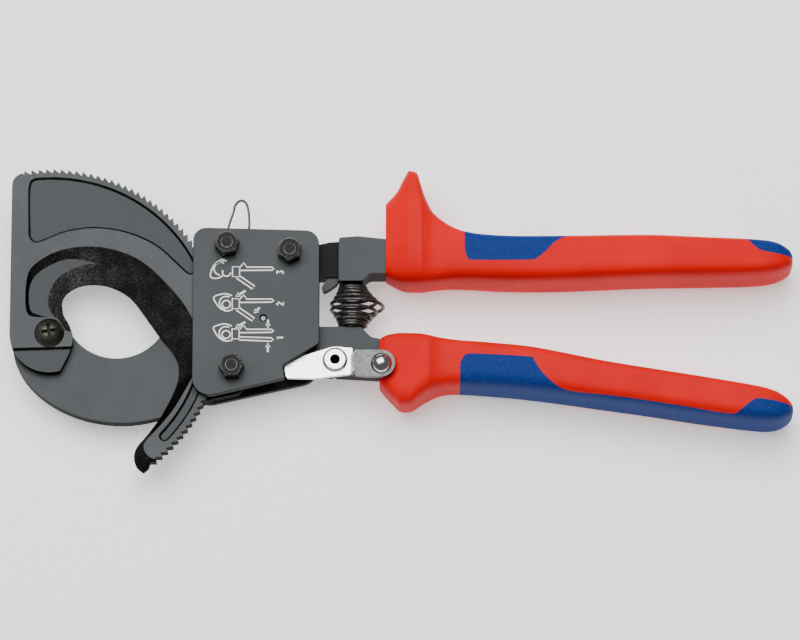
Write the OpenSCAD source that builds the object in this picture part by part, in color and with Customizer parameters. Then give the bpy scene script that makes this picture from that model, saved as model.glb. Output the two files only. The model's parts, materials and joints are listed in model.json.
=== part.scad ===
// Ratcheting cable cutter, lying on its back: handles along +X, jaw at -X, +Z out of the front cover.
// Every outline is drawn around the blade pivot and then moved so that the origin is the middle of the base.

/* [Blades] */
// Radius of the tips of the ratchet teeth around the blade pivot
tip_r = 54.6; // [54.2:0.1:54.8]
// Depth of the ratchet teeth
tooth_depth = 1.3; // [1.1:0.05:1.4]
// Thickness of the moving blade
blade_t = 4.4; // [4.2:0.05:4.4]
// Radius of the moving blade's pivot end
ear_r = 12.7; // [12.2:0.1:12.7]
// Radius of the round jaw in the fixed blade
jaw_r = 17; // [16:0.1:17.5]
// Height of the square land left under each cutting edge
edge_land = 0.6; // [0.4:0.1:1]
// Depth of the cast recess in the moving blade's face
recess_d = 0.7; // [0.3:0.1:1.2]

/* [Head] */
// Thickness of each cover plate
cover_t = 2.5; // [2:0.1:2.8]
// Height of the cap screw heads, on which the head rests
screw_head_h = 4; // [4:0.1:4.4]
// Radius of the cap screw shanks
screw_r = 2; // [1.8:0.1:2.1]
// Height of the hexagon nuts on the front cover
nut_h = 5; // [4:0.1:5.2]
// Width of the nuts across their corners
nut_across = 8.1; // [7.6:0.1:8.6]
// Radius of the main handle pin
handle_pin_r = 4; // [3:0.1:4.5]

/* [Handles] */
// Thickness of the grips at their thickest
grip_t = 22; // [20:0.5:22]
// Thickness of the soft blue inlays
inlay_t = 2; // [1.5:0.1:2.4]
// Wire thickness of the handle spring
spring_wire = 1.2; // [1:0.1:1.3]
// Turns of the handle spring
spring_turns = 9; // [7:1:9]

/* [Lock lever] */
// Sheet thickness of the lock lever
lever_t = 1.7; // [1.4:0.1:1.7]
// Radius of the lever's thumb knob
knob_r = 3.4; // [3:0.1:3.8]

/* [Hidden] */
$fn = 64;

// Middle of the whole tool, measured from the blade pivot.
middle = [112.15, 4.7];

// Levels above the ground: rear cover, rear layer (fixed blade), front layer (moving blade), front cover.
layer = 4.5;
slip = 0.05;
z_rear = screw_head_h;
z_gap = z_rear + cover_t;
z_mid = z_gap + layer;
z_front = z_mid + layer;
z_face = z_front + cover_t;
z_axis = grip_t / 2;

// Places seen from above, from the blade pivot.
screw_top_left = [56.4, 28.1];
screw_top_right = [76.4, 25.9];
screw_low_left = [58.1, -12.4];
cover_screw_places = [screw_top_left, screw_top_right, screw_low_left];
handle_pivot = [76.5, -3];
pawl_pivot = [62.5, 6.5];
tang_rivet_at = [68.6, 24];
lever_pivot = [90.9, -8.8];
stop_pin_at = [68.1, 4.2];
knob_at = [105.6, -11.6];
jaw_at = [21.2, 9.8];

// Ratchet: 144 teeth to the turn, steep on their anticlockwise side.
pitch = 2.5;
first_tooth = -52.5;
tooth_count = 61;
tip_at = 1.85;
gullet_at = 2.15;

// The pawls are drawn seated in the teeth, then swung clear of the tips for the rest pose.
mesh_gap = 0.08;
drive_lift = 13;
drive_tip = -5.65;
drive_reach = 4.6;
holding_lift = 9.5;
holding_tip = 11.85;
holding_reach = 3.9;

// Bores and pins.
sleeve_r = 3.5;
pawl_pin_r = 1.8;
pawl_bush_r = 3;
stop_pin_r = 0.85;
rivet_r = 2.6;
lip_r = 4.1;
lip_h = 0.9;
screw_hole_r = screw_r + 0.1;

// Lower tang and lock lever levels.
tang_top = z_gap + 6.6;
lever_z = tang_top + 0.2;
lever_step = 6.35;
knob_z = lever_z + lever_step + lever_t;

// Handle spring: from one seat to the other along Y.
spring_x = 96.5;
spring_z = 10.5;
spring_top = 16.95;
spring_low = 2.75;
spring_end_r = 3.9;
spring_mid_r = 8.3;

// Tang cores inside the grips.
core_h = 7;
core_t = 8;
upper_core = [106.9, 20.6, z_axis - core_t / 2];
upper_core_l = 95;
lower_core = [104.9, -11.2, z_axis - core_t / 2];
lower_core_l = 88;
lower_core_turn = -7.2;

function polar(r, a) = r * [cos(a), sin(a)];
function arc(c, r, a0, a1, n) = [for (i = [0:n]) c + polar(r, a0 + (a1 - a0) * i / n)];
function unit(v) = v / norm(v);
function at(p, i) = p[max(0, min(len(p) - 1, i))];

// Smooth curve through every point of p, with n steps between points.
function curve_step(a, b, c, d, t) =
    0.5 * (2 * b + (c - a) * t + (2 * a - 5 * b + 4 * c - d) * t * t + (3 * b - a - 3 * c + d) * t * t * t);
function curve(p, n) = concat(
    [for (i = [0:len(p) - 2], k = [0:n - 1]) curve_step(at(p, i - 1), p[i], p[i + 1], at(p, i + 2), k / n)],
    [p[len(p) - 1]]);

// Closed outline of [x, y, corner radius] points, with each corner drawn as a tangent arc.
function turn_of(u, v) = u[0] * v[1] - u[1] * v[0];
function corner(a, b, c, n) =
    let (u = unit([a[0] - b[0], a[1] - b[1]]), v = unit([c[0] - b[0], c[1] - b[1]]))
    let (half = acos(u * v) / 2, mid = [b[0], b[1]] + unit(u + v) * b[2] / sin(half))
    let (side = turn_of(u, v) > 0 ? 1 : -1, look = atan2(-(u + v)[1], -(u + v)[0]))
    arc(mid, b[2], look + side * (90 - half), look - side * (90 - half), n);
function rounded(p, n = 6) =
    [for (i = [0:len(p) - 1]) each corner(p[(i + len(p) - 1) % len(p)], p[i], p[(i + 1) % len(p)], n)];

// One saw tooth: gullet, long rise to the tip, steep drop to the next gullet.
function tooth(r, depth, a) = [polar(r - depth, a), polar(r, a + tip_at), polar(r - depth, a + gullet_at)];
function teeth(r, depth, a0, count) = [for (k = [0:count - 1]) each tooth(r, depth, a0 + k * pitch)];

// Tube of a given radius swept along a path, with n sides.
function tangent(p, i) = unit(at(p, i + 1) - at(p, i - 1));
function side_of(t) = unit(abs(t[2]) < 0.9 ? cross(t, [0, 0, 1]) : cross(t, [1, 0, 0]));
module tube(path, r, n = 6) {
    rings = [for (i = [0:len(path) - 1])
        let (t = tangent(path, i), u = side_of(t), v = cross(t, u))
        [for (k = [0:n - 1]) path[i] + r * (cos(360 * k / n) * u + sin(360 * k / n) * v)]];
    skin(rings);
}

// Closed solid over a row of rings that have the same number of points.
module skin(rings) {
    n = len(rings[0]);
    last = len(rings) - 1;
    walls = [for (i = [0:last - 1], k = [0:n - 1])
        [i * n + k, (i + 1) * n + k, (i + 1) * n + (k + 1) % n, i * n + (k + 1) % n]];
    ends = [[for (k = [0:n - 1]) k], [for (k = [n - 1:-1:0]) last * n + k]];
    polyhedron([for (r = rings) each r], concat(walls, ends), convexity = 8);
}

module place() {
    translate([-middle[0], -middle[1], 0]) children();
}

module slab(z0, z1, points) {
    translate([0, 0, z0]) linear_extrude(z1 - z0) polygon(points);
}

module rod(p, r, z0, z1) {
    translate([p[0], p[1], z0]) cylinder(h = z1 - z0, r = r);
}

module ring(p, r, bore, z0, z1) {
    difference() {
        rod(p, r, z0, z1);
        rod(p, bore, z0 - 1, z1 + 1);
    }
}

// ---- Blades ----

// Cutting edge of the moving blade, from the pivot end round the jaw to the tip of the tail.
edge_points = [
    [7.4, -0.6], [6.2, 3.5], [4.2, 7], [3.7, 11], [5.3, 14], [9, 16.3], [14, 17], [19.5, 16], [25.5, 12.5],
    [30.8, 5.5], [35, -0.5], [39.5, -6], [41.2, -11], [40.3, -17], [36, -26], [31.4, -32.6],
    [28.2, -36.5], [27.2, -40], [28.2, -43.4], [30.4, -45.2]
];

// The hollow beside the cutting edge is cast in three stages: a bevel up to a floor, the floor and a sloping
// wall up to the blade's face. Beyond the first few points the three run together into one wide bevel.
facet_d = 2.2;
floor_start = [
    [6.2, -0.3], [3.6, 3.9], [0.6, 6.9], [-0.7, 11.2], [0.8, 16.6], [4.6, 20.7], [9.6, 22.7], [14.6, 23.2]
];
wall_start = [
    [5.4, 0.3], [2.9, 4.5], [-2.9, 6.3], [-6.4, 8.4], [-6.5, 16.5], [-2.6, 21.6], [5.4, 25.1], [13.6, 23.9]
];
face_line = [
    [4.9, 0.7], [2.4, 4.8], [-3.7, 5.2], [-7.4, 7], [-7.5, 17.8], [-4.8, 22.9], [3.6, 27.6], [16, 28.5],
    [28.5, 24.2], [38.4, 14.9], [44, 7.5], [47.5, -1], [48.3, -8], [45.8, -14.2], [40.2, -24.5], [35, -31.2],
    [30.8, -36],
    [30.7, -38.8], [32.6, -41], [35.6, -41.8]
];
edge_steps = 3;

// Point of the bevel for edge point i: from the list where it has one, else a part of the way up to the face.
function bevel_point(list, i, part, top, bottom) =
    i < len(list) ? [list[i][0], list[i][1], top - facet_d]
    : let (p = edge_points[i] * (1 - part) + face_line[i] * part)
        [p[0], p[1], bottom + (top - bottom) * part];

module blade_bevel(z_top, z_edge) {
    lip = 1.5;
    rows = len(edge_points) - 1;
    edge = curve(edge_points, edge_steps);
    low = curve([for (i = [0:rows]) bevel_point(floor_start, i, 0.35, z_top, z_edge)], edge_steps);
    high = curve([for (i = [0:rows]) bevel_point(wall_start, i, 0.7, z_top, z_edge)], edge_steps);
    face = curve(face_line, edge_steps);
    skin([for (i = [0:len(edge) - 1])
        let (t = tangent(edge, i), e = edge[i], jaw = e + 2.5 * [t[1], -t[0]], f = face[i])
        [
            [jaw[0], jaw[1], z_edge],
            [e[0], e[1], z_edge],
            low[i],
            high[i],
            [f[0], f[1], z_top],
            [f[0], f[1], z_top + lip],
            [jaw[0], jaw[1], z_top + lip]
        ]]);
}

// Shallow cast recesses: the large one under the teeth, the groove in the tail and the step at the pivot end.
recess_r = 51.5;
recess_low = [
    [47, 20.8], [44.6, 19.6], [42, 21.6], [35.2, 28.1], [28.9, 31.8], [22, 34.1], [13.9, 35.1], [5.3, 34],
    [-1.5, 31.3], [-4.6, 30.2], [-6.5, 31.6], [-6.9, 35], [-7.1, 48.4], [-5.6, 51.1]
];
groove_r = [48.8, 51.6];
groove_a = [-10, -42.6];

module blade_recesses(z_top) {
    groove_mid = (groove_r[0] + groove_r[1]) / 2;
    groove_half = (groove_r[1] - groove_r[0]) / 2;
    slab(z_top - recess_d, z_top + 1, concat(arc([0, 0], recess_r, 95.5, 23.5, 24), curve(recess_low, 3)));
    slab(z_top - recess_d, z_top + 1, concat(
        arc([0, 0], groove_r[1], groove_a[0], groove_a[1], 12),
        arc([0, 0], groove_r[0], groove_a[1], groove_a[0], 12)));
    rod(polar(groove_mid, groove_a[1]), groove_half, z_top - recess_d, z_top + 1);
    slab(z_top - 1.2, z_top + 1, [[-20, -5.6], [12, -4.6], [12, -20], [-20, -20]]);
}

module moving_blade() {
    z0 = z_mid;
    z1 = z_mid + blade_t;
    outline = concat(
        teeth(tip_r, tooth_depth, first_tooth, tooth_count),
        arc([-8.7, 49.2], 4, 98, 178, 6),
        arc([0, 0], ear_r, 180, 286, 24),
        [[5.9, -7.4], [7.3, -3.6]],
        curve(edge_points, edge_steps),
        [[31.5, -44.3], [32.2, -43.4]]);
    color("#4d5256") place() difference() {
        slab(z0, z1, outline);
        blade_bevel(z1, z0 + edge_land);
        blade_recesses(z1);
        rod([0, 0], sleeve_r + slip, z0 - 1, z1 + 1);
    }
}

// The fixed blade's outer edge, from under the pivot end to the covers.
fixed_outer = [
    [-12, -2.5], [-10.9, -8.2], [-7.5, -14.5], [-2.5, -19.7], [4, -23.9], [12, -27], [21, -28.4], [29, -28],
    [38, -25.9], [46, -23], [52, -20.6]
];
fixed_in_head = [
    [61, -18.6, 4], [64.2, -12, 4], [57, -4.5, 3], [56.6, 15.5, 3], [61.8, 21.5, 3], [61.8, 32.6, 4],
    [47, 32.9, 3], [46.6, 24.5, 6], [38.2, 15.5, 5]
];

jaw_side = [38.5, 9.8];

module fixed_blade() {
    z1 = z_mid - slip;
    jaw_bevel = 6;
    outline = concat(
        curve(fixed_outer, 3),
        [for (i = [0:len(fixed_in_head) - 1])
            let (a = i == 0 ? fixed_outer[len(fixed_outer) - 1] : fixed_in_head[i - 1])
            let (c = i == len(fixed_in_head) - 1 ? jaw_side : fixed_in_head[i + 1])
            each corner(a, fixed_in_head[i], c, 5)],
        [jaw_side, jaw_at, [4.1, 6]],
        arc([0, 0], 11.5, 72, 175, 12));
    color("#4d5256") place() difference() {
        slab(z_gap, z1, outline);
        rod(jaw_at, jaw_r, z_gap - 1, z1 + 1);
        intersection() {
            translate([jaw_at[0], jaw_at[1], z_gap - slip])
                cylinder(h = layer - edge_land, r1 = jaw_r + jaw_bevel, r2 = jaw_r - 0.5);
            slab(z_gap - 1, z1, concat([jaw_at], arc(jaw_at, 2 * jaw_r, -118, -12, 8)));
        }
        rod([0, 0], sleeve_r, z_gap - 1, z1 + 1);
        for (p = [screw_top_left, screw_low_left]) rod(p, screw_hole_r, z_gap - 1, z1 + 1);
    }
}

// Sleeve nut of the blade pivot, pressed into the fixed blade from the rear.
sleeve_head_r = 5.4;
sleeve_head_h = 2;
sleeve_end = z_mid + blade_t;

module pivot_sleeve() {
    color("#6f6f63") place() difference() {
        union() {
            rod([0, 0], sleeve_head_r, z_gap - sleeve_head_h, z_gap);
            rod([0, 0], sleeve_r, z_gap - 0.5, sleeve_end);
        }
        rod([0, 0], 2, z_gap + 1, sleeve_end + 1);
        translate([-sleeve_head_r, -0.6, z_gap - sleeve_head_h - 1]) cube([2 * sleeve_head_r, 1.2, 1.9]);
    }
}

pan_r = 4.75;
pan_h = 2.5;

module pivot_screw() {
    z0 = sleeve_end + slip;
    dome_r = (pan_r * pan_r + pan_h * pan_h) / (2 * pan_h);
    color("#6f6f63") place() difference() {
        union() {
            intersection() {
                translate([0, 0, z0 + pan_h - dome_r]) sphere(r = dome_r);
                rod([0, 0], pan_r, z0, z0 + pan_h);
            }
            rod([0, 0], 2, z_gap + 1.5, z0 + 0.5);
        }
        for (a = [8, 98]) translate([0, 0, z0 + 1]) rotate(a) translate([-2.5, -0.6, 0]) cube([5, 1.2, 3]);
    }
}

// ---- Head ----

cover_top = [[45.6, 34.3, 4], [85.8, 33.2, 4.5]];
front_low = [[85.8, -4.2, 1.4], [74.3, -11.3, 0.8], [75, -15.7, 0.6], [45.6, -22.6, 5.5]];
rear_low = [[85.8, -13.4, 6.5], [45.6, -22.4, 5.5]];
pin_pocket = 1.4;

module front_cover() {
    color("#43484c") place() difference() {
        slab(z_front, z_face, rounded(concat(cover_top, front_low)));
        for (p = cover_screw_places) rod(p, screw_hole_r, z_front - 1, z_face + 1);
        rod(handle_pivot, handle_pin_r, z_front - 1, z_front + pin_pocket);
        rod(stop_pin_at, stop_pin_r, z_front - 1, z_face + 1);
        rod(stop_pin_at, stop_pin_r + 0.25, z_face - 1, z_face + 1);
    }
}

module rear_cover() {
    color("#43484c") place() difference() {
        slab(z_rear, z_gap, rounded(concat(cover_top, rear_low)));
        for (p = cover_screw_places) rod(p, screw_hole_r, z_rear - 1, z_gap + 1);
        rod(handle_pivot, handle_pin_r, z_rear - 1, z_gap + 1);
        rod(tang_rivet_at, rivet_r, z_rear - 1, z_gap + 1);
    }
}

// Socket cap screws, heads at the rear.
module cover_screws() {
    head_r = 3.5;
    socket = 1.75;
    color("#2c2c2e") place() for (p = cover_screw_places) difference() {
        union() {
            rod(p, head_r, 0, z_rear);
            rod(p, screw_r, z_rear - 1, z_face + nut_h - 0.3);
        }
        translate([p[0], p[1], -1]) cylinder(h = 3, r = socket, $fn = 6);
    }
}

module nut(turn) {
    chamfer = 1.2;
    r = nut_across / 2;
    difference() {
        intersection() {
            rotate(turn) cylinder(h = nut_h, r = r, $fn = 6);
            rotate_extrude()
                polygon([[0, 0], [r + 0.5, 0], [r + 0.5, nut_h - chamfer], [r - 0.9, nut_h], [0, nut_h]]);
        }
        translate([0, 0, -1]) cylinder(h = nut_h + 2, r = screw_r);
    }
}

module cover_nuts() {
    turns = [12, 24, 3];
    color("#2c2c2e") place() for (i = [0:2])
        translate([cover_screw_places[i][0], cover_screw_places[i][1], z_face]) nut(turns[i]);
}

module spacer_bush() {
    color("#77797a") place() ring(screw_low_left, 3.5, screw_r, z_mid - slip, z_front);
}

module pawl_bush() {
    color("#77797a") place() ring(screw_top_left, pawl_bush_r, screw_r, z_mid - slip, z_front);
}

module handle_pin() {
    color("#77797a") place() rod(handle_pivot, handle_pin_r, z_rear, z_front + pin_pocket);
}

module tang_rivet() {
    color("#77797a") place() rod(tang_rivet_at, rivet_r, z_rear, z_gap + 7);
}

// Short pin in the front cover, its end sunk below the face.
module stop_pin() {
    color("#9a9a98") place() rod(stop_pin_at, stop_pin_r, z_front, z_face - 0.5);
}

// ---- Handles ----

upper_head = [[64.6, 19.2, 2], [85.6, 19.2, 0.5], [85.6, 32.7, 3], [64.6, 32.7, 3]];
upper_waist = [[84, 19.2], [92.5, 19.2], [92.5, 31], [89, 30.8], [84, 29.6]];
upper_tab = [[89, 20], [86.6, 16.2], [87.2, 14.6], [88.6, 15.2], [91.4, 17.2], [92.6, 20]];
upper_neck_low = [[92, 17, 0.8], [99.6, 17, 1.6], [101.8, 19.5, 2.5], [upper_core[0] + 0.1, 19.5, 0.1]];
upper_neck_top = [[upper_core[0] + 0.1, 30.8, 0.1], [98, 31.8, 8], [92, 31.3, 0.8]];
waist_z = 12.9;
neck_z = 16.6;

module upper_tang() {
    color("#43484c") place() difference() {
        union() {
            slab(z_gap, z_front, rounded(upper_head));
            slab(z_gap, waist_z, upper_waist);
            slab(8.5, 12, upper_tab);
            slab(z_gap, neck_z, rounded(concat(upper_neck_low, upper_neck_top)));
            translate(upper_core) cube([upper_core_l, core_h, core_t]);
        }
        rod(screw_top_right, screw_hole_r, z_gap - 1, z_front + 1);
        rod(tang_rivet_at, rivet_r, z_gap - 1, z_gap + 7);
        translate([spring_x, 21, spring_z]) rotate([90, 0, 0]) cylinder(h = 10, r = 1.5);
    }
}

// Turned spring seat: a peg for the first coils on a spigot that is pressed into the tang.
module spring_seat(y, way) {
    place() translate([spring_x, y, spring_z]) rotate([-90 * way, 0, 0]) union() {
        cylinder(h = 2.6, r = 2.9);
        translate([0, 0, -4]) cylinder(h = 4.5, r = 1.5);
    }
}

module upper_spring_seat() {
    color("#77797a") spring_seat(17, -1);
}

module lower_spring_seat() {
    color("#77797a") spring_seat(2.7, 1);
}

hub_r = 9;
pawl_lug_r = 4.4;
lower_neck = [
    [78, 5, 0.5], [86, 2.7, 4], [99, 2.7, 2], [102.4, -0.8, 3], [105, -1.2, 0.1], [105, -13.7, 0.1],
    [84, -12.5, 6], [77, -10.6, 1]
];

module lower_tang() {
    along = unit(pawl_pivot - handle_pivot);
    n = [along[1], -along[0]];
    arm = [handle_pivot + 6.5 * n, handle_pivot - 6.5 * n, pawl_pivot - 4 * n, pawl_pivot + 4 * n];
    z0 = z_gap + slip;
    color("#43484c") place() difference() {
        union() {
            rod(handle_pivot, hub_r, z0, tang_top);
            slab(z0, tang_top, rounded(lower_neck));
            slab(z0, z_mid - slip, arm);
            rod(pawl_pivot, pawl_lug_r, z0, z_mid - slip);
            lower_core_box();
        }
        rod(handle_pivot, handle_pin_r + slip, z_gap - 1, z_front);
        rod(pawl_pivot, pawl_pin_r, z_gap - 1, z_front);
        rod(lever_pivot, rivet_r, z_gap - 1, z_front);
        rod(lever_pivot, lip_r, z_gap - 1, z_gap + slip + lip_h);
        translate([spring_x, 3, spring_z]) rotate([90, 0, 0]) cylinder(h = 4.3, r = 1.5);
    }
}

module lower_core_box() {
    translate(lower_core) rotate(lower_core_turn) cube([lower_core_l, core_h, core_t]);
}

module handle_washer() {
    color("#77797a") place() ring(handle_pivot, 5.5, handle_pin_r + slip, tang_top, z_front - slip);
}

// Grips: rings of a rounded square section along X. Each station is x, top, bottom, half thickness.
grip_half = grip_t / 2;
upper_stations = [
    [107, 43, 18.8, 7.4], [110.4, 46.6, 17, 9], [112.3, 50.2, 16.3, 10], [114.2, 53.6, 16, grip_half],
    [117, 52.9, 16, grip_half], [118.5, 48.2, 16, grip_half], [120, 43.9, 16.2, 10.8],
    [122.4, 39.5, 16.5, 10.5], [127.5, 35.4, 17, 10.2], [134, 32.9, 17, 10.3],
    [146, 31.7, 16.5, 10.7], [163, 31.6, 16.6, grip_half],
    [190, 31.9, 17.7, grip_half], [207, 31.2, 18, grip_half], [224, 30.4, 18.4, 10.8],
    [231, 29.5, 19.3, 10.2], [235, 27.6, 20.9, 8.6], [237, 25.4, 22.8, 4.8]
];
lower_stations = [
    [105, -1.8, -16.8, 6.2], [107, -0.7, -19.3, 7.5], [109.8, -0.1, -22.2, 8.2], [111.6, 0, -23.7, 8.7],
    [115, -0.2, -23.7, 9.7], [118, -0.5, -21.6, 10.6], [120.4, -1.1, -20, grip_half],
    [124.6, -1.9, -18.3, 10.4], [130, -2.7, -17.8, 10.2], [140, -3.6, -18.3, 10.4],
    [154.4, -5.3, -19.6, grip_half],
    [176, -9.7, -22.6, grip_half], [190, -12.1, -24.6, grip_half], [207, -14.9, -27.3, grip_half],
    [224, -17.9, -29.5, 10.8], [230.5, -19.7, -29.6, 10.2], [234.2, -22, -28.2, 8.6],
    [236.3, -24.2, -26.4, 4.8]
];
grip_square = 4;
ring_n = 20;

function power(c) = sign(c) * pow(abs(c), 2 / grip_square);
function grip_ring(s, inset) = [for (k = [0:ring_n - 1])
    let (a = 360 * (k + 0.5) / ring_n, flat = power(cos(180 / ring_n)))
    let (half = ((s[1] - s[2]) / 2 - inset) / flat, deep = (min(s[3], grip_half) - inset) / flat)
    [s[0], (s[1] + s[2]) / 2 + half * power(cos(a)), z_axis + deep * power(sin(a))]];

module grip_body(stations, inset = 0, first = 0) {
    last = len(stations) - (inset > 0 ? 2 : 1);
    used = [for (i = [first:last]) stations[i]];
    skin([for (s = curve(used, 2)) grip_ring(s, inset)]);
}

// Areas of the blue inlays, seen from the front; each runs out past the grip's edge.
upper_inlay_1 = [
    [132.1, 36], [132.2, 25.8], [133, 23.6], [135.2, 22.5], [152.8, 22.4], [155.4, 23.2], [158, 25.3],
    [161.2, 28.6], [165.5, 31], [170, 36]
];
upper_inlay_2 = [[219, 34], [222.6, 29], [225.2, 26.4], [228.2, 25.2], [240, 23.6], [240, 34]];
lower_inlay_area = [
    [130.4, -36], [130.6, -11.4], [131.8, -9.2], [134.6, -8.4], [152.2, -9.6], [154, -10.8], [156.8, -15],
    [161.4, -19], [166.7, -20.6], [180.7, -22.3], [198.3, -25], [215.4, -27.8], [219, -27], [222.6, -24.2],
    [226, -23.3], [240, -25.6], [240, -36]
];

module inlay_zone(stations, areas, first) {
    difference() {
        for (a = areas) slab(-5, grip_t + 5, a);
        grip_body(stations, inlay_t, first);
    }
}

module upper_zone() {
    inlay_zone(upper_stations, [upper_inlay_1, upper_inlay_2], 7);
}

module lower_zone() {
    inlay_zone(lower_stations, [lower_inlay_area], 6);
}

module upper_grip() {
    color("#e2231a") place() difference() {
        grip_body(upper_stations);
        upper_zone();
        translate(upper_core) cube([upper_core_l, core_h, core_t]);
    }
}

module upper_grip_inlays() {
    color("#1f4fa3") place() intersection() {
        grip_body(upper_stations);
        upper_zone();
    }
}

module lower_grip() {
    color("#e2231a") place() difference() {
        grip_body(lower_stations);
        lower_zone();
        lower_core_box();
    }
}

module lower_grip_inlay() {
    color("#1f4fa3") place() intersection() {
        grip_body(lower_stations);
        lower_zone();
    }
}

// Double cone compression spring between the two seats.
module return_spring() {
    steps = 14;
    rise = spring_low + spring_wire / 2;
    run = spring_top - spring_low - spring_wire;
    path = [for (i = [0:steps * spring_turns])
        let (t = i / (steps * spring_turns), a = 360 * i / steps)
        let (r = spring_end_r + (spring_mid_r - spring_end_r) * (1 - abs(2 * t - 1)))
        [spring_x + r * cos(a), rise + run * t, spring_z + r * sin(a)]];
    color("#3a3a3a") place() tube(path, spring_wire / 2, 6);
}

// ---- Ratchet pawls ----

// Turns children about an upright axis through p.
module turned(p, a) {
    translate([p[0], p[1], 0]) rotate(a) translate([-p[0], -p[1], 0]) children();
}

// Teeth of a pawl that sits in the ratchet, above the tips of three of the blade's teeth. Their working
// faces follow the pawl's own swing, so that the push goes through its pivot and it lifts out freely.
pawl_teeth_count = 3;
face_gap = 0.15;
back_gap = 0.16;
clear_r = tip_r + mesh_gap;

function swing(p, c, a) = c + [
    (p - c)[0] * cos(a) - (p - c)[1] * sin(a),
    (p - c)[0] * sin(a) + (p - c)[1] * cos(a)];

module pawl_teeth(pivot, tip_angle, reach) {
    for (k = [0:pawl_teeth_count - 1])
        let (a = tip_angle + k * pitch, foot = polar(clear_r, a + face_gap))
        slab(pawl_z0, pawl_z1, [
            polar(clear_r + 0.4, a + pitch / 2),
            foot,
            swing(foot, pivot, -reach / 2),
            swing(foot, pivot, -reach),
            polar(clear_r, a + pitch - back_gap)]);
}

pawl_z0 = z_mid + slip;
pawl_z1 = z_front - 0.2;
pawl_hub_z = pawl_z0 + 2.3;

module drive_pawl() {
    hub = 4.2;
    body = [[53, 1.9], [52.8, -5.5], [57.2, -6.4], [65.4, 3.5], [59.5, 9.5]];
    color("#8a8c8e") place() turned(pawl_pivot, drive_lift) union() {
        difference() {
            union() {
                slab(pawl_z0, pawl_z1, body);
                rod(pawl_pivot, hub, pawl_z0, pawl_z1);
            }
            rod([0, 0], clear_r, pawl_z0 - 1, pawl_z1 + 1);
            rod(pawl_pivot, pawl_pin_r + slip, pawl_z0 - 1, pawl_z1 + 1);
            rod(pawl_pivot, hub + 0.4, pawl_hub_z, pawl_z1 + 1);
        }
        pawl_teeth(pawl_pivot, drive_tip, drive_reach);
    }
}

module drive_pawl_pin() {
    color("#77797a") place() rod(pawl_pivot, pawl_pin_r, z_gap + slip, pawl_z1);
}

// Wound round its pin, with one leg on the pawl and one against the frame side.
module leg_spring(p, r, wire, z, a0, leg) {
    turns = 2;
    steps = 12;
    coil = [for (i = [0:steps * turns])
        let (a = a0 + 360 * i / steps)
        [p[0] + r * cos(a), p[1] + r * sin(a), z + wire * i / steps]];
    out = [-sin(a0), cos(a0), 0];
    tube(concat(coil, [coil[len(coil) - 1] + leg * out]), wire / 2, 6);
}

module drive_pawl_spring() {
    color("#9a9a98") place() leg_spring(pawl_pivot, 2.6, 0.7, pawl_hub_z + 0.4, 208, 3);
}

module holding_pawl() {
    hub = 4.8;
    ear = wire_feet[1];
    body = [[50.6, 15.9], [51.4, 11.6], [54.2, 11.6], [61, 26.6], [52.1, 29.5], [52.4, 20]];
    color("#8a8c8e") place() difference() {
        union() {
            turned(screw_top_left, holding_lift) difference() {
                slab(pawl_z0, pawl_z1, body);
                rod([0, 0], clear_r, pawl_z0 - 1, pawl_z1 + 1);
            }
            turned(screw_top_left, holding_lift) pawl_teeth(screw_top_left, holding_tip, holding_reach);
            rod(screw_top_left, hub, pawl_z0, pawl_hub_z);
            slab(pawl_z0, pawl_hub_z, [[56.4, 24.4], ear - [0, 1.6], ear + [1, 1.2], [57.6, 32.6]]);
            rod(ear, 1.6, pawl_z0, pawl_hub_z);
        }
        rod(screw_top_left, pawl_bush_r + slip, pawl_z0 - 1, pawl_z1 + 1);
        rod(screw_top_left, hub + 0.4, pawl_hub_z, pawl_z1 + 1);
        for (p = wire_feet) rod(p, wire_r, pawl_z0 + 0.5, pawl_z1);
    }
}

module holding_pawl_spring() {
    color("#9a9a98") place() leg_spring(screw_top_left, 3.4, 0.6, pawl_hub_z + 0.3, 290, 2.8);
}

// Release wire: a loop above the head with both ends bent down into the holding pawl.
wire_r = 0.35;
wire_z = z_front - 0.6;
wire_feet = [[56.6, 32.3], [61, 29.8]];
wire_loop = [
    [56.6, 32.3], [56.5, 33.6], [57, 36.2], [58.3, 40.2], [58.8, 42.4], [60.2, 44], [61.8, 43.8], [62.8, 42],
    [63.3, 38.6], [63.3, 35], [62.6, 32.2], [61, 29.8]
];

module release_wire() {
    foot = pawl_z0 + 0.6;
    bend = 0.5;
    flat = curve(wire_loop, 3);
    path = concat(
        [[wire_feet[0][0], wire_feet[0][1], foot], [wire_feet[0][0], wire_feet[0][1], wire_z - bend]],
        [for (i = [1:len(flat) - 2]) [flat[i][0], flat[i][1], wire_z]],
        [[wire_feet[1][0], wire_feet[1][1], wire_z - bend], [wire_feet[1][0], wire_feet[1][1], foot]]);
    color("#b9bab8") place() tube(path, wire_r - 0.02, 8);
}

// ---- Lock lever ----

lever_low = [
    [74.8, -10.9, 0.8], [81, -7.4, 8], [90.4, -4.4, 7], [96.4, -4.9, 0.3], [96.4, -13.4, 0.3],
    [84, -14.9, 6], [75.4, -14.7, 0.8]
];
lever_high = [[97.4, -7.3, 0.2], [102, -7.2, 1], [102, -16, 1], [97.4, -15.7, 0.2]];
lever_end_r = 4.4;

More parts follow.
